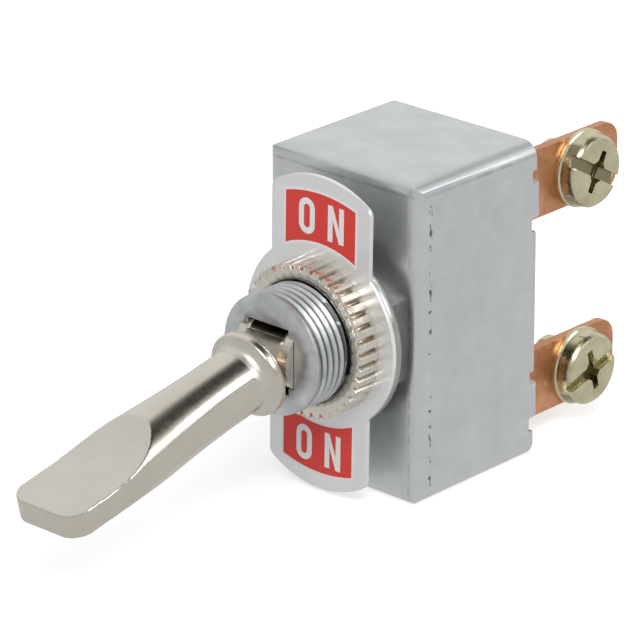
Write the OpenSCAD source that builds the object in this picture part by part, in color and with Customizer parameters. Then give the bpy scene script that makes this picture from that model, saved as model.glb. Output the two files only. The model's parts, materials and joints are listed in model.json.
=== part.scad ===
// Panel toggle switch, two positions, screw terminals.
// Millimetres. Origin: bushing axis at the front face of the steel case.
// -Y points out of the panel along the bushing, +Z is the upper terminal, +X the side with two terminals.

/* [Case] */
// Width of the steel case
case_w = 19.4; // [19.2:0.1:22]
// Depth of the steel case, front face to rear edge
case_d = 16.9; // [15.8:0.1:20]
// Height of the steel case
case_h = 32.4; // [32:0.2:38]
// Sheet thickness of the case
sheet_t = 0.9; // [0.7:0.05:1]
// Outside radius of the two upright front edges
edge_r_upright = 1.55; // [1.1:0.05:2]
// Outside radius of the top and bottom front edges
edge_r_front = 1.1; // [1.05:0.05:1.6]
// Outside radius of the four long edges
edge_r_long = 1.65; // [1.2:0.05:2.2]
// Width of each crimped finger
finger_w = 3.4; // [2.4:0.1:4]
// Reach of each crimped finger over the base
finger_reach = 1.8; // [1.2:0.1:2.4]
// Depth of the relief notches beside the fingers
notch_d = 0.6; // [0.3:0.05:0.9]

/* [Bushing] */
// Major diameter of the bushing thread
thread_d = 11.9; // [11.5:0.1:12.6]
// Thread pitch
thread_pitch = 0.794; // [0.6:0.001:1]
// Length of the bushing in front of the case
bushing_len = 10.3; // [9.8:0.1:13]
// Diameter of the flat at the tip
tip_flat_d = 9.9; // [9.4:0.1:10.4]
// Length of the chamfer at the tip
tip_chamfer = 0.45; // [0.3:0.05:0.8]
// Flange thickness inside the case
flange_t = 1.5; // [1.2:0.1:2]

/* [Lever] */
// Full angle between the two positions
throw_deg = 23.6; // [18:0.2:25]
// Radius of the two pivot discs
drum_r = 3.3; // [3.2:0.05:3.4]
// Width over the two pivot discs
drum_w = 6.7; // [6.5:0.05:6.8]
// Pivot axis behind the bushing tip
pivot_in = 2.2; // [2:0.05:2.4]
// Distance from pivot to tip
bat_len = 32.5; // [28:0.25:38]
// Width across the paddle at the tip
bat_w = 8.6; // [8.2:0.1:9.2]
// Thickness of the coined paddle
paddle_t = 2.26; // [1.8:0.02:3]
// Diameter of the round bar at the collar
bar_d = 6.5; // [6.3:0.1:6.8]
// Half height of the flat on each side of the bar, next to the collar
side_flat_hh = 1.47; // [1.3:0.01:1.6]
// Radius of the run-out where the paddle meets the bar, above and below
runout_r_top = 6.3; // [5:0.1:8]
runout_r_under = 45; // [30:1:60]
// Radius at the two tip corners
tip_corner_r = 2.2; // [1:0.1:2.6]
// Diameter of the collar
collar_d = 8.56; // [8.2:0.02:9]
// Distance from pivot to the rear of the collar
collar_at = 4.52; // [4.4:0.02:5]

/* [Nuts and legend] */
// Thickness of the rear hex nut
back_nut_t = 1.9; // [1.6:0.1:2.2]
// Across flats of the rear hex nut
back_nut_af = 14; // [13.6:0.1:14.6]
// Thickness of the backing washer
washer_t = 0.79; // [0.5:0.01:1]
// Diameter of the backing washer
washer_d = 18.6; // [17:0.1:19]
// Thickness of the legend plate
legend_t = 0.49; // [0.3:0.01:0.8]
// Width of the legend strip
legend_w = 12.4; // [12:0.1:13.4]
// Height of the legend strip
legend_h = 31.7; // [30:0.1:32]
// Diameter of the round middle of the legend plate
legend_disc_d = 18.7; // [17.6:0.1:20]
// Radius of the legend strip's ends
legend_end_r = 10.75; // [10:0.05:13]
// Corner radius of the legend strip
legend_corner_r = 1; // [0.4:0.1:1.6]
// Turn of the legend plate as it was tightened
legend_turn = -1.1; // [-3:0.1:3]
// Thickness of the knurled ring nut
ring_t = 2.44; // [2:0.02:3]
// Diameter over the knurl
ring_d = 15.2; // [14.8:0.1:16]
// Number of serrations
ring_teeth = 40; // [30:1:44]
// Depth of the serrations
tooth_d = 0.48; // [0.3:0.02:0.6]

/* [Terminals] */
// Width of a terminal tab
tab_w = 7.06; // [6.4:0.02:7.4]
// Thickness of a terminal tab
tab_t = 1; // [0.8:0.05:1.2]
// Rear end of the tabs, from the case front
tab_end = 32.5; // [31:0.1:36]
// Outer face of the tabs, from the middle plane
tab_x = 6.9; // [6.6:0.05:6.95]
// Height of the outer terminals above and below the middle
tab_z = 10.33; // [10:0.01:10.8]
// Corner radius at the tab end
tab_corner_r = 2; // [0.8:0.1:2.8]
// Screw axis, from the case front
screw_y = 26.85; // [25.5:0.05:27.4]
// Diameter of the screw head
head_d = 7.84; // [7:0.02:8.4]
// Height of the screw head
head_t = 2.1; // [1.8:0.05:2.4]
// Major diameter of the screw
screw_d = 4; // [3.6:0.1:4.2]
// Length of the screw under its head
screw_len = 4.5; // [3.6:0.1:5.2]

/* [Switch works] */
// Distance from pivot to the lever's inner end
arm_len = 13; // [12.6:0.1:13.2]
// Radius of the lever's inner end
arm_end_r = 2; // [1.8:0.05:2.1]
// Half length of the contact bridge
bridge_half = 6.8; // [6.4:0.1:7]
// Thickness of the contact bridge
bridge_t = 0.8; // [0.6:0.05:0.9]
// Radius of the contact heads
contact_r = 2; // [1.8:0.05:2.2]
// Sliding clearance between carriage and guides
slide_fit = 0.08; // [0.05:0.01:0.1]
// Radial clearance of the pivot discs
pivot_fit = 0.06; // [0.03:0.01:0.1]

/* [Hidden] */
$fn = 64;

thread_r = thread_d / 2;
engaged_r = thread_r - 0.31 * thread_pitch;   // bushing drawn at the pitch radius where nuts sit
thread_gap = 0.02;
seat_fit = 0.05;
half_throw = throw_deg / 2;
pivot_y = -(bushing_len - pivot_in);

washer_y = -back_nut_t - washer_t;            // front faces of the stack on the bushing
legend_y = washer_y - legend_t;
ring_y = legend_y - ring_t;

in_w = case_w / 2 - sheet_t;                  // inside half width and half height of the case
in_h = case_h / 2 - sheet_t;
flange_y = sheet_t + flange_t;                // rear face of the bushing flange
retainer_t = 0.7;
retainer_y = flange_y + retainer_t;

neck_hw = 2.2;                                // half width and half height of the lever's neck
neck_hh = 2.65;
neck_rear = 1.75;                             // its rear face, in front of the pivot
core_r = 2.3;                                 // core between the pivot discs
arm_hh = 1.4;
slot_hw = neck_hw + 0.5;
slot_hh = neck_hh / cos(half_throw) + pivot_in * tan(half_throw) + 0.12;
window_hh = arm_hh / cos(half_throw) + (retainer_y - pivot_y) * tan(half_throw) + 0.2;
channel_hw = drum_w / 2 + 0.05;
channel_hh = drum_r + pivot_fit;
cheek_in = neck_hw + 0.03;

tub_hw = tab_x + 0.1;                         // inside half width and half height of the base
tub_hh = tab_z + tab_w / 2 + seat_fit;
foot_y = 10.5;                                // front face of the terminal feet
floor_y = foot_y + tab_t;
contact_head_t = 0.6;
contact_y = foot_y - contact_head_t;
bridge_y = contact_y - 0.03 - bridge_t;
carriage_front = retainer_y + slide_fit;
carriage_back = contact_y - 0.1;
carriage_hh = 7.6;
carriage_hw = tub_hw - slide_fit;
carriage_z = arm_len * sin(half_throw);
spring_z = 4.6;
spring_r = 1.6;
spring_wire = 0.45;
spring_seat_y = 5.2;
rivet_r = 1;
screw_r = screw_d / 2;
screw_core_r = screw_r - 0.23;

zinc = [0.74, 0.76, 0.76];
steel = [0.72, 0.73, 0.72];
nickel = [0.8, 0.77, 0.71];
legend = [0.84, 0.84, 0.84];
copper = [0.79, 0.52, 0.36];
yellow_zinc = [0.71, 0.67, 0.5];
phenolic = [0.13, 0.11, 0.1];
nylon = [0.86, 0.85, 0.8];
silver = [0.85, 0.85, 0.87];

// ---- helpers -------------------------------------------------------------------------------

// rectangle with round corners, made only from squares and circles
module round_rect(hw, hh, r) {
    square([2 * (hw - r), 2 * hh], center = true);
    square([2 * hw, 2 * (hh - r)], center = true);
    for (sx = [-1, 1], sy = [-1, 1])
        translate([sx * (hw - r), sy * (hh - r)])
            circle(r);
}

// 2D profile in X,Z swept along Y from y0 to y1
module along_y(y0, y1) {
    translate([0, y1, 0])
        rotate([90, 0, 0])
            linear_extrude(y1 - y0)
                children();
}

// 2D profile in Y,Z swept along X from x0 to x1
module along_x(x0, x1) {
    translate([x0, 0, 0])
        rotate([90, 0, 90])
            linear_extrude(x1 - x0)
                children();
}

module disc_y(y0, y1, r) {
    along_y(y0, y1)
        circle(r);
}

module drum_x(hw, r, y = 0) {
    translate([-hw, y, 0])
        rotate([0, 90, 0])
            cylinder(h = 2 * hw, r = r);
}

module box_y(hw, y0, y1, hh) {
    translate([-hw, y0, -hh])
        cube([2 * hw, y1 - y0, 2 * hh]);
}

// ---- steel case ----------------------------------------------------------------------------

// three crossed profiles give a folded box with its own radius on each set of edges
module case_block(hw, hh, y0, y1, ru, rf, rl) {
    intersection() {
        along_y(y0, y1)
            round_rect(hw, hh, rl);
        translate([0, 0, -hh])
            linear_extrude(2 * hh) {
                translate([-hw, y0 + ru])
                    square([2 * hw, y1 - y0 - ru]);
                translate([-hw + ru, y0])
                    square([2 * (hw - ru), ru + 0.01]);
                for (s = [-1, 1])
                    translate([s * (hw - ru), y0 + ru])
                        circle(ru);
            }
        along_x(-hw, hw) {
            translate([y0 + rf, -hh])
                square([y1 - y0 - rf, 2 * hh]);
            translate([y0, -hh + rf])
                square([rf + 0.01, 2 * (hh - rf)]);
            for (s = [-1, 1])
                translate([y0 + rf, s * (hh - rf)])
                    circle(rf);
        }
    }
}

// one finger, bent over the base, seen in X,Y on the +X side
module finger_profile() {
    bend_r = sheet_t;
    translate([case_w / 2 - finger_reach, case_d])
        square([finger_reach - bend_r, sheet_t]);
    intersection() {
        translate([case_w / 2 - bend_r, case_d])
            circle(bend_r);
        translate([case_w / 2 - bend_r, case_d])
            square([bend_r, bend_r]);
    }
}

module case() {
    color(steel) {
        difference() {
            case_block(case_w / 2, case_h / 2, 0, case_d, edge_r_upright, edge_r_front, edge_r_long);
            case_block(in_w, in_h, sheet_t, case_d + 5, edge_r_upright - sheet_t,
                       max(edge_r_front - sheet_t, 0.1), edge_r_long - sheet_t);
            disc_y(-1, sheet_t + 1, engaged_r + seat_fit);
            for (s = [-1, 1], e = [-1, 1])
                translate([-case_w, case_d - notch_d, s * tab_z + e * (finger_w / 2 + 0.7) - 0.7])
                    cube([2 * case_w, notch_d + 1, 1.4]);
        }
        for (sx = [0, 1], s = [-1, 1])
            mirror([sx, 0, 0])
                translate([0, 0, s * tab_z - finger_w / 2])
                    linear_extrude(finger_w)
                        finger_profile();
    }
}

// ---- threaded bushing ----------------------------------------------------------------------

module bushing() {
    color(zinc)
        difference() {
            union() {
                rotate([90, 0, 0])
                    rotate_extrude()
                        polygon([[0, -flange_y], [engaged_r, -flange_y], [engaged_r, -ring_y],
                                 [thread_r, -ring_y], [thread_r, bushing_len - tip_chamfer],
                                 [tip_flat_d / 2, bushing_len], [0, bushing_len]]);
                along_y(sheet_t, flange_y)
                    round_rect(in_w - 0.7, 11, 1.5);
            }
            // seat for the pivot discs, and the way in for them from behind
            drum_x(channel_hw, channel_hh, pivot_y);
            box_y(channel_hw, pivot_y, flange_y + 1, channel_hh);
            // slot for the neck in front of the pivot
            box_y(slot_hw, -bushing_len - 1, pivot_y, slot_hh);
            // room for the inner arm to swing
            box_y(slot_hw, -1.5, flange_y + 1, window_hh);
        }
}

// ---- pivot retainer ------------------------------------------------------------------------

module pivot_retainer() {
    color(nylon)
        difference() {
            union() {
                along_y(flange_y, retainer_y)
                    round_rect(in_w - 0.1, in_h - 0.1, 1);
                box_y(channel_hw - 0.05, pivot_y, flange_y + 0.01, channel_hh - 0.05);
            }
            drum_x(channel_hw + 1, drum_r + pivot_fit + 0.02, pivot_y);
            box_y(cheek_in, pivot_y - 4, retainer_y + 1, window_hh);
        }
}

// ---- lever ---------------------------------------------------------------------------------

// 0 to 1 with a level start and finish
function ease(t) = let (c = min(max(t, 0), 1)) c * c * (3 - 2 * c);
// half width over the side flats, and the radius of the round above and below them, at distance
// s in front of the pivot
flank_0 = sqrt(pow(bar_d / 2, 2) - pow(side_flat_hh, 2));
function flank(s) = flank_0 + (bat_w / 2 - flank_0) * ease((s - 9) / 19);
function bar_r(s) = norm([flank(s), side_flat_hh - 0.27 * ease((s - 9) / 9)]);

// turned body of the bat before it is flattened
module bar_body(from) {
    rotate([90, 0, 0])
        rotate_extrude()
            polygon([[0, from], [bar_r(0), from],
                     for (i = [0 : 11]) [bar_r(8 + 2 * i), 8 + 2 * i],
                     [bar_r(bat_len), bat_len + 1], [0, bat_len + 1]]);
}

// plan of the bat: flat flanks that flare into the paddle, with round tip corners
module bat_plan() {
    hw = bat_w / 2;
    straight = bat_len - tip_corner_r;
    half = [[0, 0], [flank_0, 0], for (i = [0 : 9]) [flank(9 + 2.1 * i), 9 + 2.1 * i],
            [hw, straight], [0, straight]];
    for (sx = [-1, 1]) {
        polygon([for (p = half) [sx * p[0], -p[1]]]);
        translate([sx * (hw - tip_corner_r), -straight])
            circle(tip_corner_r);
    }
    translate([-hw + tip_corner_r, -bat_len])
        square([2 * (hw - tip_corner_r), tip_corner_r + 0.01]);
}

// what coining takes off one face: a flat to the tip and a round run-out at its inner end
module coin_cut(from, r) {
    translate([-10, -bat_len - 5, paddle_t / 2])
        cube([20, bat_len + 5 - from, 10]);
    translate([0, -from, paddle_t / 2 + r])
        rotate([0, 90, 0])
            cylinder(h = 20, r = r, center = true, $fn = 12 * r);
}

module bat(from) {
    difference() {
        intersection() {
            bar_body(from);
            translate([0, 0, -8])
                linear_extrude(16)
                    bat_plan();
        }
        coin_cut(24.2, runout_r_top);
        // the underside is coined with a much longer run-out
        mirror([0, 0, 1])
            coin_cut(29, runout_r_under);
    }
}

// collar band with a step, a low dome in front of it and a fillet down to the bar
module collar() {
    band = 0.9;
    step = 0.18;
    edge_r = 1.2;
    front = collar_at + band;
    dome_r = collar_d / 2 - step;
    fillet_end = front + 1.8;
    bar = bar_r(fillet_end);
    rotate([90, 0, 0])
        rotate_extrude($fn = 96)
            polygon([[0, collar_at], [collar_d / 2, collar_at], [collar_d / 2, front],
                     for (i = [0 : 5])
                         [dome_r - edge_r + edge_r * cos(i * 12), front + edge_r * sin(i * 12)],
                     [bar + 0.13, fillet_end - 0.55], [bar + 0.04, fillet_end - 0.25],
                     [bar, fillet_end], [0, fillet_end]]);
}

module bat_lever() {
    disc_w = drum_w / 2 - neck_hw;
    color(nickel)
        translate([0, pivot_y, 0])
            rotate([half_throw, 0, 0]) {
                bat(collar_at + 0.5);
                collar();
                // neck block, the two pivot discs on a thinner core, and the inner arm
                box_y(neck_hw, -collar_at - 0.01, -neck_rear, neck_hh);
                drum_x(neck_hw, core_r);
                for (s = [-1, 1])
                    translate([s * (drum_w / 2 - disc_w / 2 - 0.01), 0, 0])
                        drum_x(disc_w / 2 + 0.01, drum_r);
                box_y(neck_hw - 0.1, 0, arm_len, arm_hh);
                drum_x(neck_hw - 0.1, arm_end_r, arm_len);
            }
}

// ---- base, carriage and contacts -----------------------------------------------------------

module base() {
    color(phenolic)
        difference() {
            along_y(retainer_y, case_d)
                round_rect(in_w - seat_fit, in_h - seat_fit, edge_r_long - sheet_t + 0.15);
            box_y(tub_hw, retainer_y - 1, floor_y, tub_hh);
            // slots for the three tabs, and the tail of each contact rivet in its recess
            for (t = [[1, tab_z], [1, -tab_z], [-1, 0]]) {
                translate([t[0] * (tab_x - tab_t / 2), (floor_y + case_d) / 2, t[1]])
                    cube([tab_t + 2 * seat_fit, case_d - floor_y + 1, tab_w + 2 * seat_fit], center = true);
                translate([0, 0, t[1]]) {
                    disc_y(floor_y - 1, case_d + 1, rivet_r + 0.02);
                    disc_y(case_d - 0.7, case_d + 1, 1.9);
                }
            }
            // shallow panel between the terminals on the rear face
            along_y(case_d - 0.4, case_d + 1)
                round_rect(3.2, 3.6, 0.8);
        }
}

module contact_carriage() {
    color(phenolic)
        translate([0, 0, carriage_z])
            difference() {
                box_y(carriage_hw, carriage_front, carriage_back, carriage_hh);
                // slot for the lever's inner end
                box_y(neck_hw + 0.1, carriage_front - 1, pivot_y + arm_len + arm_end_r + 0.15,
                      arm_end_r + 0.05);
                // pocket for the contact bridge, and a bore for each spring
                box_y(3.05, bridge_y - 0.5, carriage_back + 1, bridge_half + 0.05);
                for (s = [-1, 1])
                    translate([0, 0, s * spring_z])
                        disc_y(spring_seat_y, carriage_back, spring_r + 0.15);
            }
}

module contact_bridge() {
    color(copper)
        translate([0, 0, carriage_z])
            difference() {
                box_y(3, bridge_y, bridge_y + bridge_t, bridge_half);
                // ends eased so that they ride up onto the contacts
                for (s = [-1, 1])
                    translate([0, bridge_y + bridge_t, s * bridge_half])
                        rotate([45, 0, 0])
                            cube([8, 0.5, 0.5], center = true);
            }
}

// closed-end compression spring along Y
module spring_coil(y0, y1, r, wire, turns) {
    translate([0, y1 - wire / 2, 0])
        rotate([90, 0, 0]) {
            linear_extrude(y1 - y0 - wire, twist = -360 * turns, slices = 20 * turns, $fn = 8)
                translate([r - wire / 2, 0])
                    circle(wire / 2);
            for (h = [0, y1 - y0 - wire])
                translate([0, 0, h])
                    rotate_extrude($fn = 40)
                        translate([r - wire / 2, 0])
                            circle(wire / 2);
        }
}

module contact_spring(s) {
    color(steel)
        translate([0, 0, carriage_z + s * spring_z])
            spring_coil(spring_seat_y, bridge_y, spring_r, spring_wire, 4);
}

module contact_spring_upper() {
    contact_spring(1);
}

module contact_spring_lower() {
    contact_spring(-1);
}

// ---- terminals -----------------------------------------------------------------------------

// bent copper terminal: foot on the floor of the base, tab out through its slot
module terminal() {
    color(copper)
        difference() {
            union() {
                translate([-2.6, foot_y, -tab_w / 2])
                    cube([tab_x - 1 + 2.6, tab_t, tab_w]);
                translate([tab_x - 1, foot_y, -tab_w / 2])
                    linear_extrude(tab_w)
                        intersection() {
                            translate([0, 1])
                                circle(1);
                            square([1, 1]);
                        }
                along_x(tab_x - tab_t, tab_x) {
                    translate([foot_y + 1, -tab_w / 2])
                        square([tab_end - tab_corner_r - foot_y - 1, tab_w]);
                    translate([tab_end - tab_corner_r - 0.01, -tab_w / 2 + tab_corner_r])
                        square([tab_corner_r + 0.01, tab_w - 2 * tab_corner_r]);
                    for (s = [-1, 1])
                        translate([tab_end - tab_corner_r, s * (tab_w / 2 - tab_corner_r)])
                            circle(tab_corner_r);
                }
            }
            disc_y(foot_y - 1, floor_y + 1, rivet_r + 0.02);
            translate([tab_x - tab_t - 1, screw_y, 0])
                rotate([0, 90, 0])
                    cylinder(h = tab_t + 2, r = screw_core_r + thread_gap);
        }
}

module terminal_upper() {
    translate([0, 0, tab_z])
        terminal();
}

module terminal_lower() {
    translate([0, 0, -tab_z])
        terminal();
}

module terminal_common() {
    mirror([1, 0, 0])
        terminal();
}

module contact_rivet(z) {
    color(silver)
        translate([0, 0, z]) {
            disc_y(contact_y, foot_y, contact_r);
            disc_y(contact_y, case_d - 0.15, rivet_r);
            disc_y(case_d - 0.7, case_d - 0.15, 1.7);
        }
}

module contact_rivet_upper() {
    contact_rivet(tab_z);
}

module contact_rivet_lower() {
    contact_rivet(-tab_z);
}

module contact_rivet_common() {
    contact_rivet(0);
}

// one arm of the cross, flared where it meets the slot
module cross_recess() {
    polygon([for (s = [1, -1]) each [[-0.95 * s, 0.55 * s], [-0.42 * s, 1.05 * s], [-0.36 * s, 2.15 * s],
                                     [0.36 * s, 2.15 * s], [0.42 * s, 1.05 * s], [0.95 * s, 0.55 * s]]]);
}

// binding head screw with a full slot and a short cross, turned to the angle it was left at
module terminal_screw(turn) {
    slot_w = 1.16;
    slot_deep = 0.8;
    cross_deep = 1.15;
    rim = head_d / 2;
    color(yellow_zinc)
        translate([tab_x, screw_y, 0])
            rotate([turn, 0, 0])
                difference() {
                    rotate([0, 90, 0]) {
                        rotate_extrude()
                            polygon([[0, 0], [rim, 0], [rim, 0.4], [rim - 0.2, 0.5],
                                     [rim - 0.32, head_t - 0.35], [rim - 0.6, head_t], [0, head_t]]);
                        translate([0, 0, -tab_t])
                            cylinder(h = tab_t + 0.01, r = screw_core_r);
                        translate([0, 0, -screw_len + 0.5])
                            cylinder(h = screw_len - tab_t - 0.5, r = screw_r);
                        translate([0, 0, -screw_len])
                            cylinder(h = 0.5, r1 = screw_r - 0.4, r2 = screw_r);
                    }
                    translate([head_t - slot_deep, -head_d, -slot_w / 2])
                        cube([2, 2 * head_d, slot_w]);
                    along_x(head_t - cross_deep, head_t + 1)
                        cross_recess();
                }
}

module terminal_screw_upper() {
    translate([0, 0, tab_z])
        terminal_screw(-29.7);
}

module terminal_screw_lower() {
    translate([0, 0, -tab_z])
        terminal_screw(15.2);
}

module terminal_screw_common() {
    mirror([1, 0, 0])
        terminal_screw(38);
}

// ---- what is stacked on the bushing --------------------------------------------------------

module back_nut() {
    corner_r = back_nut_af / 2 / cos(30);
    color(steel)
        difference() {
            intersection() {
                along_y(-back_nut_t, 0)
                    rotate(30)
                        circle(corner_r, $fn = 6);
                union() {
                    disc_y(-back_nut_t + 0.5, 0, corner_r + 1);
                    translate([0, -back_nut_t + 0.5, 0])
                        rotate([90, 0, 0])
                            cylinder(h = 0.5, r1 = corner_r, r2 = back_nut_af / 2);
                }
            }
            disc_y(-back_nut_t - 1, 1, engaged_r + thread_gap);
        }
}

module back_washer() {
    color(steel)
        difference() {
            disc_y(washer_y, -back_nut_t, washer_d / 2);
            disc_y(washer_y - 1, 1, thread_r + seat_fit);
        }
}

// strip with arched ends and eased corners, crossed by a disc
module legend_outline() {
    inner_r = legend_end_r - legend_corner_r;
    corner_x = legend_w / 2 - legend_corner_r;
    corner_z = sqrt(inner_r * inner_r - corner_x * corner_x);
    arch_at = legend_h / 2 - legend_end_r;
    arch_x = corner_x * legend_end_r / inner_r;
    square([legend_w, 2 * (arch_at + corner_z)], center = true);
    for (s = [0, 1])
        mirror([0, s])
            translate([0, arch_at]) {
                intersection() {
                    circle(legend_end_r, $fn = 128);
                    translate([-arch_x, 0])
                        square([2 * arch_x, legend_end_r]);
                }
                for (e = [-1, 1])
                    translate([e * corner_x, corner_z])
                        circle(legend_corner_r);
            }
    circle(legend_disc_d / 2, $fn = 128);
}

module legend_plate() {
    color(legend)
        difference() {
            along_y(legend_y, washer_y)
                rotate(legend_turn)
                    legend_outline();
            disc_y(legend_y - 1, 1, thread_r + seat_fit);
        }
}

module serration(a) {
    root = ring_d / 2 - tooth_d;
    half_root = 0.36 * 360 / ring_teeth;
    half_tip = 0.24 * 360 / ring_teeth;
    rotate(a)
        polygon([[(root - 0.3) * cos(half_root), -(root - 0.3) * sin(half_root)],
                 [ring_d / 2 * cos(half_tip), -ring_d / 2 * sin(half_tip)],
                 [ring_d / 2 * cos(half_tip), ring_d / 2 * sin(half_tip)],
                 [(root - 0.3) * cos(half_root), (root - 0.3) * sin(half_root)]]);
}

module ring_nut() {
    root = ring_d / 2 - tooth_d;
    lead = 0.5;
    color(nickel)
        difference() {
            intersection() {
                along_y(ring_y, legend_y) {
                    circle(root, $fn = 128);
                    for (i = [0 : ring_teeth - 1])
                        serration(i * 360 / ring_teeth);
                }
                // front edge turned down past the serrations
                union() {
                    disc_y(ring_y + lead, legend_y, ring_d / 2 + 1);
                    translate([0, ring_y + lead, 0])
                        rotate([90, 0, 0])
                            cylinder(h = lead, r1 = ring_d / 2 + 0.05, r2 = root - 0.02);
                }
            }
            disc_y(ring_y - 1, 1, engaged_r + thread_gap);
            translate([0, ring_y + 0.6, 0])
                rotate([90, 0, 0])
                    cylinder(h = 0.61, r1 = engaged_r + thread_gap, r2 = thread_r + 0.4);
        }
}

case();
bushing();
base();
pivot_retainer();
bat_lever();
contact_carriage();
contact_bridge();
contact_spring_upper();
contact_spring_lower();
terminal_upper();
terminal_lower();
terminal_common();
contact_rivet_upper();
contact_rivet_lower();
contact_rivet_common();
terminal_screw_upper();
terminal_screw_lower();
terminal_screw_common();
back_nut();
back_washer();
legend_plate();
ring_nut();
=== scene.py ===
import bpy, bmesh, json, math
from mathutils import Vector, Matrix

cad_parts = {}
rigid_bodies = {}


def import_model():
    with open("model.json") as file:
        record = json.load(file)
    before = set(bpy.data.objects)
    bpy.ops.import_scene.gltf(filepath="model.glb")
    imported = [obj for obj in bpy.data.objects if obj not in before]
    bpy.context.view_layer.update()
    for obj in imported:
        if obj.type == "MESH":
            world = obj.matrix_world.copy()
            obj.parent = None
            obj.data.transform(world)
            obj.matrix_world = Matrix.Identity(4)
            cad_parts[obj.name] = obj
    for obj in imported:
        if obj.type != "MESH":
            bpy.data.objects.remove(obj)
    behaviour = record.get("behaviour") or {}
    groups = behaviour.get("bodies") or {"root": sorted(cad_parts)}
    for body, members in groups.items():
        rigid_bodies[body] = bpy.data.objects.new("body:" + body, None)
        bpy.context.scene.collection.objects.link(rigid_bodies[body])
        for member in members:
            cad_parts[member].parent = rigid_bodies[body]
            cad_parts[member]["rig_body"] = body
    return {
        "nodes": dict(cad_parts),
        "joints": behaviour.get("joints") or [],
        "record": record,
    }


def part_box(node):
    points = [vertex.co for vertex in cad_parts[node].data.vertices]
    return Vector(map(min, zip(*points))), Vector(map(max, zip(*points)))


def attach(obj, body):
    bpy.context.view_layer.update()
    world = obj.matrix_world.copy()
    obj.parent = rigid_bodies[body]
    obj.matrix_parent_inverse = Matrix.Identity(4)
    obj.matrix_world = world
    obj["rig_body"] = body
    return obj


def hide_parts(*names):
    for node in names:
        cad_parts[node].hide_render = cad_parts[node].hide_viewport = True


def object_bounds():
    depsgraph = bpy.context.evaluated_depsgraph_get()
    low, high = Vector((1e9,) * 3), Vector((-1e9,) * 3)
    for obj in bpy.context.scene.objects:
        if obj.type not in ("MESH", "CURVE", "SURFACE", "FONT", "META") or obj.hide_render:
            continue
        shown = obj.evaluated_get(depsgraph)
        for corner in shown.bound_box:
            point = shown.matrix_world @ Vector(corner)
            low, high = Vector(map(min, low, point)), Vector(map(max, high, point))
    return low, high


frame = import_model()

MM = 0.001
nodes = frame["nodes"]
record = frame["record"]
joints = {j["name"]: j for j in frame["joints"]}
start_lo, start_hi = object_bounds()

# ---- places taken from the frame --------------------------------------------------------------

pivot = Vector(joints["lever_tilt"]["pos_m"])
half_throw = math.radians(joints["lever_tilt"]["range_deg"][1] / 2)
thread_r = next(m["dims"]["r_mm"] for m in record["mounts"] if m["name"] == "panel_thread") * MM
thread_pitch = 0.794 * MM
bushing_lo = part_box("bushing")[0]
ring_lo, ring_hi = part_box("ring_nut")
plate_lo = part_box("legend_plate")[0]
case_lo, case_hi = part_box("case")
floor_z = start_lo.z
WELD = 0.002 * MM         # corners of a CAD mesh that lie this close are one corner
FAR = 0.05                # a distance beyond every end of the part
GRAIN_DEPTH = 0.02 * MM   # height of the grain in the finishes


# ---- small mesh helpers -----------------------------------------------------------------------

def loose_object(name, bm):
    """Turns a bmesh into an object of the scene that rides on nothing."""
    bmesh.ops.recalc_face_normals(bm, faces=bm.faces[:])
    mesh = bpy.data.meshes.new(name)
    bm.to_mesh(mesh)
    bm.free()
    obj = bpy.data.objects.new(name, mesh)
    bpy.context.scene.collection.objects.link(obj)
    return obj


def dress(obj, material, smooth_deg=32):
    """Gives a mesh one material and smooth shading between its sharp edges."""
    obj.data.materials.clear()
    obj.data.materials.append(material)
    for p in obj.data.polygons:
        p.use_smooth = True
        p.material_index = 0
    obj.data.set_sharp_from_angle(angle=math.radians(smooth_deg))


def new_piece(name, bm, body, material, smooth_deg=32):
    """Turns a bmesh into a finished piece that rides on a body."""
    obj = loose_object(name, bm)
    dress(obj, material, smooth_deg)
    even = obj.modifiers.new("even_normals", "WEIGHTED_NORMAL")
    even.keep_sharp = True
    even.weight = 80
    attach(obj, body)
    return obj


def cad_bmesh(node):
    """The mesh of a CAD node with its doubled corners joined."""
    bm = bmesh.new()
    bm.from_mesh(nodes[node].data)
    bmesh.ops.remove_doubles(bm, verts=bm.verts[:], dist=WELD)
    return bm


def merge_flats(bm, degrees):
    """Joins faces that are flat to each other within an angle."""
    bmesh.ops.dissolve_limit(bm, angle_limit=math.radians(degrees), verts=bm.verts[:],
                             edges=bm.edges[:], delimit={"NORMAL"})


def sharp_edges(bm, degrees):
    """Edges where two faces meet at more than an angle."""
    return [e for e in bm.edges
            if len(e.link_faces) == 2 and e.calc_face_angle(0) > math.radians(degrees)]


def break_edges(bm, edges, width, segments=1, slide=False):
    """Bevels edges: one segment makes a chamfer, two make a small round."""
    bmesh.ops.bevel(bm, geom=edges, offset=width, offset_type="OFFSET", segments=segments,
                    profile=0.5, affect="EDGES", clamp_overlap=True, material=-1, loop_slide=slide)


def pull(bm, faces, vec):
    """Extrudes faces along a vector."""
    made = bmesh.ops.extrude_face_region(bm, geom=faces)
    bmesh.ops.translate(bm, vec=vec, verts=[v for v in made["geom"]
                                            if isinstance(v, bmesh.types.BMVert)])


def eased_copy(node, width, material, segments=2, edge_deg=34, tidy_deg=1.0):
    """A copy of a CAD node with its sharp edges broken by a small round."""
    bm = cad_bmesh(node)
    merge_flats(bm, tidy_deg)
    break_edges(bm, sharp_edges(bm, edge_deg), width, segments, slide=True)
    piece = new_piece(node + "_eased", bm, nodes[node]["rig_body"], material)
    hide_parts(node)


def apply_modifiers(obj):
    """Makes the result of an object's modifiers its mesh."""
    bpy.context.view_layer.update()
    graph = bpy.context.evaluated_depsgraph_get()
    mesh = bpy.data.meshes.new_from_object(obj.evaluated_get(graph))
    obj.modifiers.clear()
    old = obj.data
    obj.data = mesh
    bpy.data.meshes.remove(old)


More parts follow.
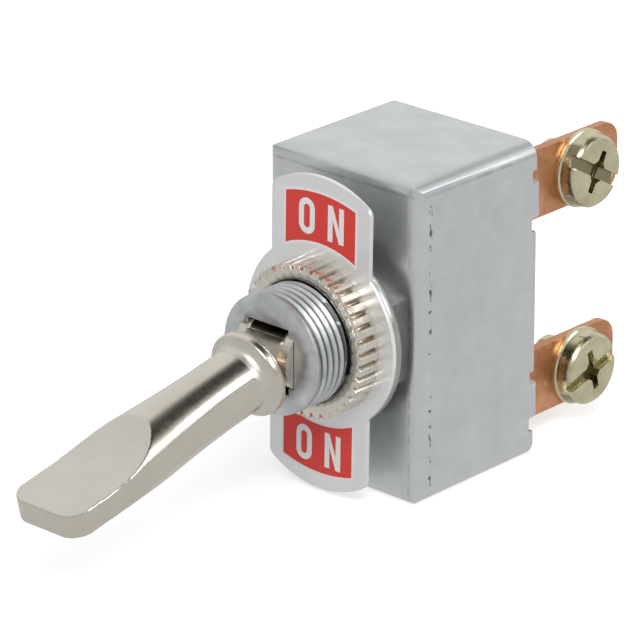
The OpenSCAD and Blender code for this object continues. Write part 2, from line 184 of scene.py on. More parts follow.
def cut(obj, cutter, operation="DIFFERENCE"):
    """Boolean of two finished meshes, applied at once."""
    mod = obj.modifiers.new("cut", "BOOLEAN")
    mod.operation = operation
    mod.solver = "EXACT"
    mod.object = cutter
    apply_modifiers(obj)
    bpy.data.objects.remove(cutter)


def soften(obj, grain, passes, keep):
    """Rounds every edge of a finished mesh a little, the way tumbling and plating do."""
    mod = obj.modifiers.new("grain", "REMESH")
    mod.mode = "VOXEL"
    mod.voxel_size = grain
    mod = obj.modifiers.new("round", "SMOOTH")
    mod.factor = 0.5
    mod.iterations = passes
    mod = obj.modifiers.new("thin", "DECIMATE")
    mod.ratio = keep
    apply_modifiers(obj)


# ---- materials --------------------------------------------------------------------------------

def node_tree(name):
    """A new material: its node tree, its shader and its object coordinates."""
    mat = bpy.data.materials.new(name)
    mat.use_nodes = True
    nt = mat.node_tree
    nt.nodes.clear()
    out = nt.nodes.new("ShaderNodeOutputMaterial")
    bsdf = nt.nodes.new("ShaderNodeBsdfPrincipled")
    nt.links.new(bsdf.outputs[0], out.inputs[0])
    coord = nt.nodes.new("ShaderNodeTexCoord")
    return mat, nt, bsdf, coord.outputs["Object"]


def noise(nt, coord, scale, detail, rough):
    """Noise with scale cells in a metre."""
    place = nt.nodes.new("ShaderNodeMapping")
    place.inputs["Scale"].default_value = (scale, scale, scale)
    tex = nt.nodes.new("ShaderNodeTexNoise")
    tex.inputs["Scale"].default_value = 1.0
    tex.inputs["Detail"].default_value = detail
    tex.inputs["Roughness"].default_value = rough
    nt.links.new(coord, place.inputs["Vector"])
    nt.links.new(place.outputs[0], tex.inputs["Vector"])
    return tex.outputs["Fac"]


def ramp(nt, fac, stops):
    """Maps a value to grey levels or colours at given positions."""
    node = nt.nodes.new("ShaderNodeValToRGB")
    cr = node.color_ramp
    while len(cr.elements) < len(stops):
        cr.elements.new(0.5)
    for el, (pos, col) in zip(cr.elements, stops):
        el.position = pos
        el.color = (col, col, col, 1) if isinstance(col, float) else (*col, 1)
    nt.links.new(fac, node.inputs[0])
    return node.outputs[0]


def bump(nt, bsdf, height, strength, distance):
    """Lets a height pattern disturb the shader's normal."""
    node = nt.nodes.new("ShaderNodeBump")
    node.inputs["Strength"].default_value = strength
    node.inputs["Distance"].default_value = distance
    nt.links.new(height, node.inputs["Height"])
    nt.links.new(node.outputs[0], bsdf.inputs["Normal"])


def plated(name, dark, light, rough_lo, rough_hi, grain=900.0, cloud=180.0, bump_strength=0.25,
           metallic=1.0):
    """Plated or bare metal: two tones in a slow cloud, fine grain in roughness and bump."""
    mat, nt, bsdf, coord = node_tree(name)
    slow = noise(nt, coord, cloud, 5.0, 0.6)
    fine = noise(nt, coord, grain, 3.0, 0.5)
    nt.links.new(ramp(nt, slow, [(0.35, dark), (0.68, light)]), bsdf.inputs["Base Color"])
    nt.links.new(ramp(nt, fine, [(0.3, rough_lo), (0.75, rough_hi)]), bsdf.inputs["Roughness"])
    bsdf.inputs["Metallic"].default_value = metallic
    bump(nt, bsdf, fine, bump_strength, GRAIN_DEPTH)
    return mat


def part_of(nt, coord, axis):
    """One of the X, Y and Z parts of a coordinate."""
    node = nt.nodes.new("ShaderNodeSeparateXYZ")
    nt.links.new(coord, node.inputs[0])
    return node.outputs[axis]


def window(nt, value, lo, hi, soft):
    """1 between lo and hi, 0 outside, with soft ends."""
    ends = []
    for a, b in ((lo - soft, lo + soft), (hi + soft, hi - soft)):
        node = nt.nodes.new("ShaderNodeMapRange")
        node.inputs["From Min"].default_value = a
        node.inputs["From Max"].default_value = b
        nt.links.new(value, node.inputs["Value"])
        ends.append(node.outputs["Result"])
    return times(nt, *ends)


def times(nt, a, b):
    """Product of two values."""
    node = nt.nodes.new("ShaderNodeMath")
    node.operation = "MULTIPLY"
    nt.links.new(a, node.inputs[0])
    nt.links.new(b, node.inputs[1])
    return node.outputs[0]


def paint_shade_and_marks(mat, amount, tone):
    """Painted shade, and real marks such as pin holes: where the mask is 1 the base colour becomes
    the tone.
    """
    nt = mat.node_tree
    bsdf = next(n for n in nt.nodes if n.type == "BSDF_PRINCIPLED")
    mix = nt.nodes.new("ShaderNodeMix")
    mix.data_type = "RGBA"
    nt.links.new(amount, mix.inputs["Factor"])
    nt.links.new(bsdf.inputs["Base Color"].links[0].from_socket, mix.inputs["A"])
    mix.inputs["B"].default_value = (*tone, 1)
    nt.links.new(mix.outputs["Result"], bsdf.inputs["Base Color"])


def object_coord(mat):
    """The object coordinates that a material already has."""
    return next(n for n in mat.node_tree.nodes if n.type == "TEX_COORD").outputs["Object"]


def radius_of(nt, coord):
    """Distance from the bushing's axis."""
    flat = nt.nodes.new("ShaderNodeVectorMath")
    flat.operation = "MULTIPLY"
    flat.inputs[1].default_value = (1, 0, 1)
    length = nt.nodes.new("ShaderNodeVectorMath")
    length.operation = "LENGTH"
    nt.links.new(coord, flat.inputs[0])
    nt.links.new(flat.outputs[0], length.inputs[0])
    return length.outputs["Value"]


def moulded(name, dark, light, rough):
    """Moulded plastic: a fine grain in tone, roughness and bump."""
    mat, nt, bsdf, coord = node_tree(name)
    fine = noise(nt, coord, 1200.0, 4.0, 0.6)
    nt.links.new(ramp(nt, fine, [(0.3, dark), (0.7, light)]), bsdf.inputs["Base Color"])
    roughness = ramp(nt, fine, [(0.3, rough - 0.08), (0.7, rough + 0.08)])
    nt.links.new(roughness, bsdf.inputs["Roughness"])
    bump(nt, bsdf, fine, 0.3, GRAIN_DEPTH)
    return mat


def printed(name, base, rough):
    """Printed ink: one colour with a very fine grain."""
    mat, nt, bsdf, coord = node_tree(name)
    fine = noise(nt, coord, 2600.0, 3.0, 0.6)
    dark = [c * 0.93 for c in base]
    nt.links.new(ramp(nt, fine, [(0.3, dark), (0.7, base)]), bsdf.inputs["Base Color"])
    roughness = ramp(nt, fine, [(0.3, rough - 0.05), (0.7, rough + 0.05)])
    nt.links.new(roughness, bsdf.inputs["Roughness"])
    bump(nt, bsdf, fine, 0.15, 0.5 * GRAIN_DEPTH)
    return mat


case_steel = plated("zinc_plated_sheet", (0.69, 0.71, 0.72), (0.76, 0.78, 0.79), 0.34, 0.44,
                    grain=1600.0, cloud=300.0, bump_strength=0.10)
bushing_zinc = plated("die_cast_zinc", (0.55, 0.57, 0.58), (0.74, 0.76, 0.77), 0.38, 0.52,
                      grain=2200.0, cloud=500.0, bump_strength=0.3)
lever_nickel = plated("lever_nickel_plate", (0.69, 0.64, 0.56), (0.76, 0.71, 0.63), 0.18, 0.26,
                      grain=2600.0, cloud=120.0, bump_strength=0.08)
lever_satin = plated("lever_nickel_satin", (0.70, 0.67, 0.61), (0.77, 0.74, 0.68), 0.36, 0.44,
                     grain=2600.0, cloud=120.0, bump_strength=0.08)
nut_nickel = plated("nut_nickel_plate", (0.74, 0.69, 0.61), (0.85, 0.80, 0.72), 0.18, 0.30,
                    grain=1200.0, cloud=200.0, bump_strength=0.15)
hardware = plated("hardware_plate", (0.42, 0.42, 0.40), (0.56, 0.56, 0.53), 0.25, 0.4,
                  grain=1200.0, cloud=200.0, bump_strength=0.2)
legend_metal = plated("legend_aluminium", (0.84, 0.84, 0.84), (0.90, 0.90, 0.90), 0.28, 0.36,
                      grain=1600.0, cloud=150.0, bump_strength=0.03, metallic=0.6)
copper = plated("bare_copper", (0.54, 0.235, 0.11), (0.83, 0.42, 0.235), 0.25, 0.42, cloud=260.0)
screw_plate = plated("yellow_zinc", (0.60, 0.56, 0.37), (0.78, 0.74, 0.51), 0.18, 0.34,
                     grain=1400.0, cloud=420.0, bump_strength=0.2)
silver = plated("contact_silver", (0.7, 0.7, 0.72), (0.85, 0.85, 0.87), 0.2, 0.35)
spring_wire = plated("spring_wire", (0.5, 0.5, 0.5), (0.62, 0.62, 0.62), 0.25, 0.4)
phenolic = moulded("black_phenolic", (0.012, 0.011, 0.010), (0.03, 0.027, 0.025), 0.5)
nylon = moulded("natural_nylon", (0.62, 0.6, 0.54), (0.72, 0.7, 0.64), 0.4)
red_ink = printed("red_ink", (0.76, 0.045, 0.035), 0.38)
white_ink = printed("white_ink", (0.88, 0.88, 0.88), 0.4)

# ---- painted shade and pin holes --------------------------------------------------------------

# painted shade: the roots of the thread and the gaps between the teeth of the nut are darkened,
# standing in for the shade that falls in them
for mat, top, front, tone in (
        (bushing_zinc, thread_r - 0.26 * MM, bushing_lo.y + 0.55 * MM, (0.10, 0.10, 0.10)),
        (nut_nickel, ring_hi.x - 0.26 * MM, ring_lo.y + 0.25 * MM, (0.60, 0.55, 0.47))):
    nt, coord = mat.node_tree, object_coord(mat)
    groove_shade_mask = window(nt, radius_of(nt, coord), 0, top, 0.09 * MM)
    behind = window(nt, part_of(nt, coord, "Y"), front, FAR, 0.05 * MM)
    paint_shade_and_marks(mat, times(nt, groove_shade_mask, behind), tone)

# a row of pin holes beside the front right edge
nt, coord = case_steel.node_tree, object_coord(case_steel)
strip = window(nt, part_of(nt, coord, "Y"), case_lo.y + 1.45 * MM, case_lo.y + 1.8 * MM, 0.1 * MM)
side = window(nt, part_of(nt, coord, "X"), case_hi.x - 0.3 * MM, FAR, 0.05 * MM)
spots = ramp(nt, noise(nt, coord, 1500.0, 2.0, 0.5), [(0.40, 1.0), (0.46, 0.0)])
paint_shade_and_marks(case_steel, times(nt, times(nt, strip, side), spots), (0.12, 0.12, 0.11))

# painted shade: a thin darker line on the flat faces where the sheet starts to bend, standing in
# for the shading at the start of the rounded edges
SHEET_FACE, BEND_FROM, BEND_TO = 0.2 * MM, 1.32 * MM, 1.10 * MM
bend_shade_blotch = ramp(nt, noise(nt, coord, 900.0, 3.0, 0.6), [(0.35, 0.15), (0.65, 0.75)])
for flat_axis, flat_at, bend_axis, bend_at in (("Y", case_lo.y, "X", case_hi.x),
                                               ("Y", case_lo.y, "Z", case_hi.z),
                                               ("X", case_hi.x, "Z", case_hi.z)):
    flat = window(nt, part_of(nt, coord, flat_axis), flat_at - SHEET_FACE, flat_at + SHEET_FACE,
                  0.03 * MM)
    bend = window(nt, part_of(nt, coord, bend_axis), bend_at - BEND_FROM, bend_at - BEND_TO,
                  0.12 * MM)
    paint_shade_and_marks(case_steel, times(nt, times(nt, flat, bend), bend_shade_blotch), (0.34, 0.35, 0.36))

# painted shade: the drive recesses of the screws are darkened inside, standing in for the shade
# that falls in them
RECESS_TOP, RECESS_FLOOR, HEAD_R = 0.42 * MM, 1.6 * MM, 3.1 * MM
nt, coord = screw_plate.node_tree, object_coord(screw_plate)
for name in ("terminal_screw_upper", "terminal_screw_lower", "terminal_screw_common"):
    lo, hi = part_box(name)
    mid = (lo + hi) / 2
    if mid.x > 0:
        deep = (hi.x - RECESS_FLOOR, hi.x - RECESS_TOP)
    else:
        deep = (lo.x + RECESS_TOP, lo.x + RECESS_FLOOR)
    recess_shade_mask = window(nt, part_of(nt, coord, "X"), *deep, 0.10 * MM)
    for axis, at in (("Y", mid.y), ("Z", mid.z)):
        across = window(nt, part_of(nt, coord, axis), at - HEAD_R, at + HEAD_R, 0.1 * MM)
        recess_shade_mask = times(nt, recess_shade_mask, across)
    paint_shade_and_marks(screw_plate, recess_shade_mask, (0.30, 0.27, 0.16))

# ---- CAD nodes that only need their finish ----------------------------------------------------

for name, mat in {"base": phenolic, "pivot_retainer": nylon,
                  "contact_carriage": phenolic, "contact_bridge": copper,
                  "contact_spring_upper": spring_wire, "contact_spring_lower": spring_wire,
                  "contact_rivet_upper": silver, "contact_rivet_lower": silver,
                  "contact_rivet_common": silver}.items():
    dress(nodes[name], mat)

for name in ("terminal_upper", "terminal_lower", "terminal_common"):
    eased_copy(name, 0.12 * MM, copper)
for name in ("terminal_screw_upper", "terminal_screw_lower", "terminal_screw_common"):
    eased_copy(name, 0.10 * MM, screw_plate)
eased_copy("case", 0.05 * MM, case_steel, segments=1, edge_deg=50, tidy_deg=0.2)
eased_copy("legend_plate", 0.06 * MM, legend_metal)
eased_copy("back_washer", 0.08 * MM, hardware)
eased_copy("back_nut", 0.08 * MM, hardware)

# ---- bushing with its thread cut --------------------------------------------------------------

def thread_cutter():
    """A vee-shaped helix that ends about a pitch short of the tip of the bushing."""
    bm = bmesh.new()
    floor_r, outer_r = thread_r - 0.44 * MM, thread_r + 0.03 * MM
    half_floor, half_mouth = 0.04 * MM, thread_pitch * 0.46
    y0 = ring_lo.y + thread_pitch * 0.2
    verts = [bm.verts.new(v) for v in ((outer_r, y0 + half_mouth, 0), (floor_r, y0 + half_floor, 0),
                                       (floor_r, y0 - half_floor, 0),
                                       (outer_r, y0 - half_mouth, 0))]
    face = bm.faces.new(verts)
    turns = (y0 - bushing_lo.y) / thread_pitch - 1.05
    steps = int(64 * turns)
    bmesh.ops.spin(bm, geom=[face] + list(face.edges) + verts, cent=(0, 0, 0), axis=(0, -1, 0),
                   dvec=(0, -thread_pitch * turns / steps, 0), angle=math.tau * turns, steps=steps,
                   use_merge=False, use_duplicate=False)
    hide_end = math.radians(205) - math.tau * turns
    bmesh.ops.rotate(bm, cent=(0, 0, 0), matrix=Matrix.Rotation(-hide_end, 3, "Y"),
                     verts=bm.verts[:])
    return loose_object("thread_cutter", bm)


bushing = new_piece("bushing_threaded", cad_bmesh("bushing"), "switch_body",
                    bushing_zinc)
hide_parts("bushing")
cut(bushing, thread_cutter())
dress(bushing, bushing_zinc, 28)

# ---- knurled ring nut -------------------------------------------------------------------------

def ring_nut_piece():
    """Straight-knurled ring: crisp teeth with broken edges and a wide lead-in round the thread."""
    teeth = 38
    tip, root = ring_hi.x, ring_hi.x - 0.56 * MM
    bore = thread_r - 0.20 * MM
    pitch = math.tau / teeth
    outer = []
    for i in range(teeth):
        for r, a in ((root, -0.43), (tip, -0.26), (tip, 0.26), (root, 0.43)):
            outer.append((r, (i + a) * pitch))
    bm = bmesh.new()
    loops = []
    for ring in (outer, [(bore, a) for r, a in outer]):
        verts = [bm.verts.new((r * math.cos(a), ring_hi.y, r * math.sin(a))) for r, a in ring]
        loops += [bm.edges.new((a, b)) for a, b in zip(verts, verts[1:] + verts[:1])]
    bmesh.ops.bridge_loops(bm, edges=loops)
    pull(bm, bm.faces[:], (0, ring_lo.y - ring_hi.y, 0))

    def radius(v):
        return math.hypot(v.co.x, v.co.z)

    mouth = [e for e in bm.edges
             if all(v.co.y < ring_lo.y + 0.01 * MM and radius(v) < bore + 0.01 * MM
                    for v in e.verts)]
    break_edges(bm, mouth, 0.5 * MM)
    bmesh.ops.recalc_face_normals(bm, faces=bm.faces[:])
    rim = [e for e in sharp_edges(bm, 30) if all(radius(v) > root - 0.02 * MM for v in e.verts)]
    break_edges(bm, rim, 0.05 * MM)
    piece = new_piece("ring_nut_knurled", bm, "switch_body", nut_nickel, 50)
    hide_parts("ring_nut")


ring_nut_piece()

# ---- legend: printed fields and lettering -----------------------------------------------------

def flat_shape(name, outlines, y, thick, material):
    """A thin printed patch: closed outlines in X,Z, the second one cut out of the first."""
    curve = bpy.data.curves.new(name, "CURVE")
    curve.dimensions = "2D"
    curve.fill_mode = "BOTH"
    curve.extrude = thick / 2
    for points in outlines:
        spline = curve.splines.new("POLY")
        spline.points.add(len(points) - 1)
        for p, (x, z) in zip(spline.points, points):
            p.co = (x, z, 0, 1)
        spline.use_cyclic_u = True
    temp = bpy.data.objects.new(name, curve)
    bpy.context.scene.collection.objects.link(temp)
    bpy.context.view_layer.update()
    graph = bpy.context.evaluated_depsgraph_get()
    mesh = bpy.data.meshes.new_from_object(temp.evaluated_get(graph))
    bpy.data.objects.remove(temp)
    mesh.name = name
    upright = Matrix.Rotation(math.radians(90), 4, "X")
    askew = Matrix.Rotation(math.radians(1.1), 4, "Y")
    mesh.transform(Matrix.Translation((0, y, 0)) @ askew @ upright)
    obj = bpy.data.objects.new(name, mesh)
    bpy.context.scene.collection.objects.link(obj)
    dress(obj, material)
    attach(obj, "switch_body")


def arc(cx, cz, r, a0, a1, n=24):
    """Points of a circular arc in X,Z between two angles in degrees."""
    return [(cx + r * math.cos(math.radians(a0 + (a1 - a0) * i / n)),
             cz + r * math.sin(math.radians(a0 + (a1 - a0) * i / n))) for i in range(n + 1)]


def field_outline(sign, grow=0.0):
    """Band between two arcs, with square flanks."""
    half_width = (4.385 + grow) * MM
    r_in, c_in = (10.07 - grow) * MM, -0.85 * MM
    r_out = (14.17 + grow) * MM
    a_in = math.degrees(math.asin(half_width / r_in))
    a_out = math.degrees(math.asin(half_width / r_out))
    pts = arc(0, 0, r_out, 90 - a_out, 90 + a_out) + arc(0, c_in, r_in, 90 + a_in, 90 - a_in)
    return [(x, z * sign) for x, z in pts]


LETTER_HW, LETTER_HH, STROKE = 1.0 * MM, 1.8 * MM, 0.6 * MM


def letter_o(cx, cz):
    """An upright O: two straight-sided ovals, the inner one a hole."""
    def oval(half_w, half_h):
        straight = half_h - half_w
        return (arc(cx, cz + straight, half_w, 0, 180, 16)
                + arc(cx, cz - straight, half_w, 180, 360, 16))
    return [oval(LETTER_HW, LETTER_HH), oval(0.38 * MM, 1.18 * MM)]


def letter_n(cx, cz):
    """An upright N in one outline."""
    w, h, inner, notch = LETTER_HW, LETTER_HH, LETTER_HW - STROKE, LETTER_HH - 1.35 * MM
    pts = [(-w, -h), (-w, h), (-inner, h), (inner, -notch), (inner, h), (w, h), (w, -h),
           (inner, -h), (-inner, notch), (-inner, -h)]
    return [[(cx + x, cz + z) for x, z in pts]]


face_y = plate_lo.y
letter_z = 11.57 * MM
for tag, sign in (("upper", 1), ("lower", -1)):
    for name, outlines, lift, thick, ink in (
            ("legend_border_", [field_outline(sign, 0.22)], 0.004, 0.012, white_ink),
            ("legend_field_", [field_outline(sign)], 0.010, 0.016, red_ink),
            ("legend_letter_o_", letter_o(-1.7 * MM, sign * letter_z), 0.018, 0.016, white_ink),
            ("legend_letter_n_", letter_n(1.95 * MM, sign * letter_z), 0.018, 0.016, white_ink)):
        flat_shape(name + tag, outlines, face_y - lift * MM, thick * MM, ink)

# ---- lever ------------------------------------------------------------------------------------

def ease(t):
    """Smooth step from 0 to 1."""
    t = min(max(t, 0.0), 1.0)
    return t * t * (3 - 2 * t)


bar_hw, bat_hw, bat_len, coin = 2.9 * MM, 4.3 * MM, 32.5 * MM, 1.13 * MM
collar_r, collar_at, band = 4.28 * MM, 4.52 * MM, 0.9 * MM
collar_end = collar_at + band + 1.8 * MM
bar_start, flare_start, flare_run = 7.8 * MM, 9 * MM, 19 * MM
tip_r = 2.2 * MM
bar_stations = [bar_start + i * (bat_len - tip_r - bar_start) / 40 for i in range(41)]
tip_stations = [bat_len - tip_r + tip_r * math.sin(math.radians(a)) for a in range(9, 91, 9)]


def flank(s):
    """Half width over the side flats, at distance s in front of the pivot."""
    return bar_hw + (bat_hw - bar_hw) * ease((s - flare_start) / flare_run)


def bar_r(s):
    """Radius of the round above and below the side flats."""
    return math.hypot(flank(s), 1.47 * MM - 0.27 * MM * ease((s - flare_start) / (9 * MM)))


def low_top(s):
    """Height of the round over the axis: it stays low while the flanks spread."""
    return min(bar_r(s), 3.2 * MM + 0.022 * (s - flare_start))


def turned(name, profile):
    """Revolves (distance in front of the pivot, radius) points about the lever's axis."""
    bm = bmesh.new()
    verts = [bm.verts.new((r, -s, 0)) for s, r in profile]
    edges = [bm.edges.new((a, b)) for a, b in zip(verts, verts[1:])]
    bmesh.ops.spin(bm, geom=verts + edges, cent=(0, 0, 0), axis=(0, 1, 0), angle=math.tau,
                   steps=72, use_merge=True)
    bmesh.ops.remove_doubles(bm, verts=bm.verts[:], dist=WELD / 4)
    return loose_object(name, bm)


def slab(name, outline, z0, z1):
    """Prism of an outline in X,Y between two heights."""
    bm = bmesh.new()
    pull(bm, [bm.faces.new([bm.verts.new((x, y, z0)) for x, y in outline])], (0, 0, z1 - z0))
    return loose_object(name, bm)


def lever_blank():
    """Collar with its band, low front and fillet, and the round bar in front of it."""
    e = 0.10 * MM
    front = collar_at + band
    pts = [(collar_at, 0.0), (collar_at, collar_r - e), (collar_at + 0.3 * e, collar_r - 0.3 * e),
           (collar_at + e, collar_r), (front - e, collar_r), (front - 0.3 * e, collar_r - 0.3 * e),
           (front, collar_r - e), (front + 0.01 * MM, collar_r - 0.17 * MM)]
    # the fillet: distance in front of the band in mm, share of the way down to the bar
    for s, down in ((0.06, 0.27), (0.14, 0.39), (0.24, 0.54), (0.34, 0.67), (0.45, 0.79),
                    (0.58, 0.89), (0.75, 0.96), (1.00, 1.0), (1.40, 1.0)):
        pts.append((front + s * MM, collar_r - down * (collar_r - bar_r(0))))
    pts.append((collar_end, bar_r(collar_end)))
    pts += [(s, bar_r(s)) for s in bar_stations + tip_stations]
    pts.append((bat_len, 0.0))
    blank = turned("lever_blank", pts)
    # in front of the flare's start the round becomes an ellipse: lower, and as wide on the flanks
    for v in blank.data.vertices:
        s = -v.co.y
        if s > flare_start:
            r, half_w = bar_r(s), flank(s)
            low = 1 - (1 - low_top(s) / r) * ease((s - flare_start) / (5 * MM))
            edge_z = math.sqrt(r ** 2 - half_w ** 2)
            v.co.z *= low
            v.co.x *= half_w / (r * math.sqrt(1 - (edge_z / (r * low)) ** 2))
    return blank


def bat_outline():
    """Plan of the bat: flat flanks that start in a hollow next to the collar, round tip corners."""
    side = [(5.5 * MM, 0), (5.5 * MM, -6.3 * MM), (3.5 * MM, -6.36 * MM), (3.12 * MM, -6.55 * MM),
            (2.96 * MM, -6.85 * MM), (flank(0), -7.2 * MM)]
    side += [(flank(s), -s) for s in bar_stations]
    for s in tip_stations:
        along = (s - bat_len + tip_r) / tip_r
        side.append((bat_hw - tip_r + tip_r * math.sqrt(max(0.0, 1 - along ** 2)), -s))
    return side + [(-x, y) for x, y in reversed(side)]


def coin_cutter(sign, height, start, run, inner):
    """Removes one face: a flat from the tip and a round run-out at its inner end."""
    def rise(s):
        return height + run - math.sqrt(run ** 2 - (start - s) ** 2)

    beyond, above = -bat_len - 3 * MM, height + 10 * MM
    pts = [(beyond, height)] + [(-s, height) for s in reversed(bar_stations) if s >= start]
    pts += [(-s, rise(s)) for s in reversed(bar_stations) if inner < s < start]
    pts += [(-inner, rise(inner)), (-inner, above), (beyond, above)]
    bm = bmesh.new()
    pull(bm, [bm.faces.new([bm.verts.new((-8 * MM, y, sign * z)) for y, z in pts])],
         (16 * MM, 0, 0))
    return loose_object("coin_cutter", bm)


def tip_dimple():
    """A shallow hollow in the end of the bat."""
    bm = bmesh.new()
    bmesh.ops.create_uvsphere(bm, u_segments=24, v_segments=12, radius=1 * MM)
    bmesh.ops.scale(bm, vec=(1.15, 0.16, 0.36), verts=bm.verts[:])
    bmesh.ops.translate(bm, vec=(0.4 * MM, -bat_len, -0.1 * MM), verts=bm.verts[:])
    return loose_object("tip_dimple", bm)


lever = lever_blank()
cut(lever, slab("bat_outline", bat_outline(), -8 * MM, 8 * MM), "INTERSECT")
face_start, face_run = 27 * MM, 15.2 * MM
cut(lever, coin_cutter(1, coin, face_start, face_run, 16.5 * MM))
cut(lever, coin_cutter(-1, coin + 0.2 * MM, 29 * MM, 45 * MM, 11.5 * MM))
cut(lever, tip_dimple())
soften(lever, 0.12 * MM, 11, 0.4)
bm = bmesh.new()
bm.from_mesh(lever.data)
bpy.data.objects.remove(lever)
bm.normal_update()


def face_height(s):
    """Height of the upper ground face over the axis."""
    return coin + face_run - math.sqrt(face_run ** 2 - max(0.0, face_start - s) ** 2)


def is_satin(f):
    """The ground face and the front of the collar are duller than the polished round."""
    at = f.calc_center_median()
    s, r = -at.y, math.hypot(at.x, at.z)
    ground = (s > 18.2 * MM and f.normal.z > 0.2
              and abs(at.z - face_height(s)) < 0.09 * MM)
    collar = collar_at + band < s < collar_end - 0.4 * MM and r < collar_r - 0.12 * MM
    return ground or collar


satin = [f.index for f in bm.faces if is_satin(f)]
tilt = Matrix.Translation(pivot) @ Matrix.Rotation(half_throw, 4, "X")
bm.transform(tilt)
lever = new_piece("lever_bat", bm, "lever", lever_nickel, 30)
lever.data.materials.append(lever_satin)
for i in satin:
    lever.data.polygons[i].material_index = 1

# neck, pivot discs and inner arm, cut from the CAD lever behind the collar
bm = cad_bmesh("bat_lever")
bm.transform(tilt.inverted())
bmesh.ops.bisect_plane(bm, geom=bm.verts[:] + bm.edges[:] + bm.faces[:], dist=0.0001 * MM,
                       plane_co=(0, -collar_at - 0.1 * MM, 0), plane_no=(0, -1, 0),
                       clear_outer=True)
bmesh.ops.holes_fill(bm, edges=[e for e in bm.edges if len(e.link_faces) == 1], sides=0)
merge_flats(bm, 1)
break_edges(bm, sharp_edges(bm, 34), 0.15 * MM, 2, slide=True)
bm.transform(tilt)
neck = new_piece("lever_neck", bm, "lever", lever_nickel, 34)
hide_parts("bat_lever")
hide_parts("bat_lever")

# ---- floor, light and camera ------------------------------------------------------------------

bpy.context.scene.view_settings.view_transform = "Standard"

FLOOR_GLOW, FLOOR_DARK, FLOOR_PALE = 0.60, 0.60, 0.64
# direction, where its brightness starts and ends, and the brightness at both
WALLS = ((-0.62, 0.69, 0.37), -0.3, 0.95, 0.62, 1.0)
GAP = ((0.17, 0.40, 0.90), 0.88, 0.985, 1.0, 0.05)
AZIMUTH, ELEVATION, DISTANCE = math.radians(42.203), math.radians(22.048), 0.4421
SENSOR_MM, LENS_MM = 36, 262.8

back = Vector((math.sin(AZIMUTH) * math.cos(ELEVATION), -math.cos(AZIMUTH) * math.cos(ELEVATION),
               math.sin(ELEVATION)))
cam_data = bpy.data.cameras.new("camera")
cam_data.sensor_width = SENSOR_MM
cam_data.lens = LENS_MM
cam_data.shift_x = -0.0338
cam_data.shift_y = 0.0080
cam_data.clip_start, cam_data.clip_end = 0.02, 20
cam = bpy.data.objects.new("camera", cam_data)
cam.location = back * DISTANCE
cam.rotation_mode = "QUATERNION"
cam.rotation_quaternion = (-back).to_track_quat("-Z", "Y")
bpy.context.scene.collection.objects.link(cam)
bpy.context.scene.camera = cam


def shader_nodes(block):
    """Clears a floor or world shader and gives back a maker of nodes and its links."""
    block.use_nodes = True
    nt = block.node_tree
    nt.nodes.clear()
    return lambda kind: nt.nodes.new(kind), nt.links


bm = bmesh.new()
bmesh.ops.create_grid(bm, x_segments=2, y_segments=2, size=3.0)
bmesh.ops.translate(bm, vec=(0, 0, floor_z), verts=bm.verts[:])
floor = loose_object("floor", bm)
mat = bpy.data.materials.new("floor_white")
add_node, links = shader_nodes(mat)
out = add_node("ShaderNodeOutputMaterial")
paper = add_node("ShaderNodeBsdfDiffuse")
paper.inputs["Color"].default_value = (0.6, 0.6, 0.6, 1)
glow = add_node("ShaderNodeEmission")
glow.inputs["Strength"].default_value = FLOOR_GLOW
lit = add_node("ShaderNodeAddShader")
path = add_node("ShaderNodeLightPath")
seen = add_node("ShaderNodeMixShader")
links.new(paper.outputs[0], lit.inputs[0])
links.new(glow.outputs[0], lit.inputs[1])
links.new(path.outputs["Is Camera Ray"], seen.inputs[0])
links.new(paper.outputs[0], seen.inputs[1])
links.new(lit.outputs[0], seen.inputs[2])
# what metal sees of the floor: shaded towards the front left, pale at the back and right
place = add_node("ShaderNodeTexCoord")
across = add_node("ShaderNodeVectorMath")
across.operation = "DOT_PRODUCT"
across.inputs[1].default_value = (0.67, 0.74, 0)
spread = add_node("ShaderNodeMapRange")
spread.inputs["From Min"].default_value = -0.08
spread.inputs["From Max"].default_value = 0.04
spread.inputs["To Min"].default_value = FLOOR_DARK
spread.inputs["To Max"].default_value = FLOOR_PALE
mirror = add_node("ShaderNodeEmission")
links.new(place.outputs["Object"], across.inputs[0])
links.new(across.outputs["Value"], spread.inputs["Value"])
links.new(spread.outputs["Result"], mirror.inputs["Strength"])
pick = add_node("ShaderNodeMixShader")
links.new(path.outputs["Is Glossy Ray"], pick.inputs[0])
links.new(seen.outputs[0], pick.inputs[1])
links.new(mirror.outputs[0], pick.inputs[2])
links.new(pick.outputs[0], out.inputs[0])
floor.data.materials.append(mat)

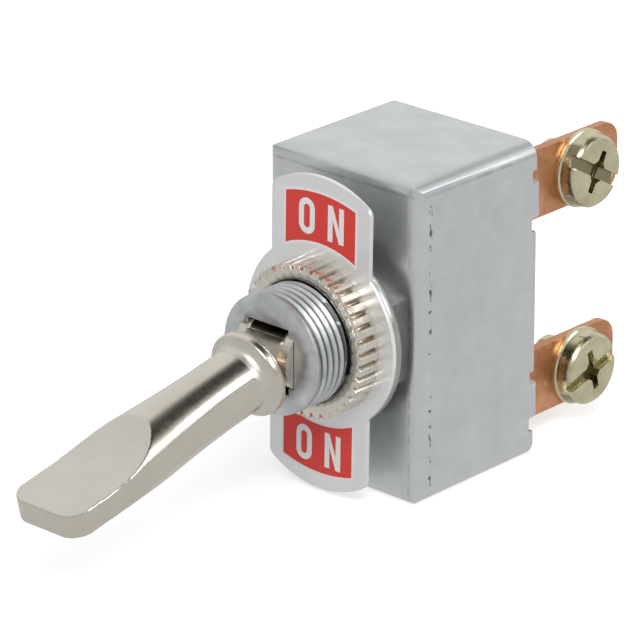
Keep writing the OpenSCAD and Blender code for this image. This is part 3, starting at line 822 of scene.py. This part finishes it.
# pale walls all round, palest at the back left, and a dark gap overhead
world = bpy.data.worlds.new("studio")
bpy.context.scene.world = world
add_node, links = shader_nodes(world)
out = add_node("ShaderNodeOutputWorld")
direction = add_node("ShaderNodeTexCoord")


def towards(vec, lo, hi, value_lo, value_hi):
    """Brightness that goes from one value to another with the angle to a direction."""
    dot = add_node("ShaderNodeVectorMath")
    dot.operation = "DOT_PRODUCT"
    dot.inputs[1].default_value = Vector(vec).normalized()
    spread = add_node("ShaderNodeMapRange")
    spread.interpolation_type = "SMOOTHSTEP"
    for name, value in (("From Min", lo), ("From Max", hi),
                        ("To Min", value_lo), ("To Max", value_hi)):
        spread.inputs[name].default_value = value
    links.new(direction.outputs["Generated"], dot.inputs[0])
    links.new(dot.outputs["Value"], spread.inputs["Value"])
    return spread.outputs["Result"]


walls = add_node("ShaderNodeBackground")
level = add_node("ShaderNodeMath")
level.operation = "MULTIPLY"
links.new(towards(*WALLS), level.inputs[0])
links.new(towards(*GAP), level.inputs[1])
links.new(level.outputs[0], walls.inputs["Strength"])
white = add_node("ShaderNodeBackground")
white.inputs["Color"].default_value = (1, 1, 1, 1)
path = add_node("ShaderNodeLightPath")
pick = add_node("ShaderNodeMixShader")
links.new(path.outputs["Is Camera Ray"], pick.inputs[0])
links.new(walls.outputs[0], pick.inputs[1])
links.new(white.outputs[0], pick.inputs[2])
links.new(pick.outputs[0], out.inputs[0])


def lamp(name, at, size, power):
    """A rectangular softbox that points at the middle of the part's frame."""
    data = bpy.data.lights.new(name, "AREA")
    data.shape = "RECTANGLE"
    data.size, data.size_y = size
    data.energy = power
    obj = bpy.data.objects.new(name, data)
    obj.location = at
    obj.rotation_mode = "QUATERNION"
    obj.rotation_quaternion = (-Vector(at)).to_track_quat("-Z", "Y")
    bpy.context.scene.collection.objects.link(obj)


lamp("back_right_softbox", (0.52, 0.28, 0.36), (0.22, 0.20), 0.85)
lamp("front_top_softbox", (0.37, -0.33, 0.56), (0.36, 0.36), 3.0)
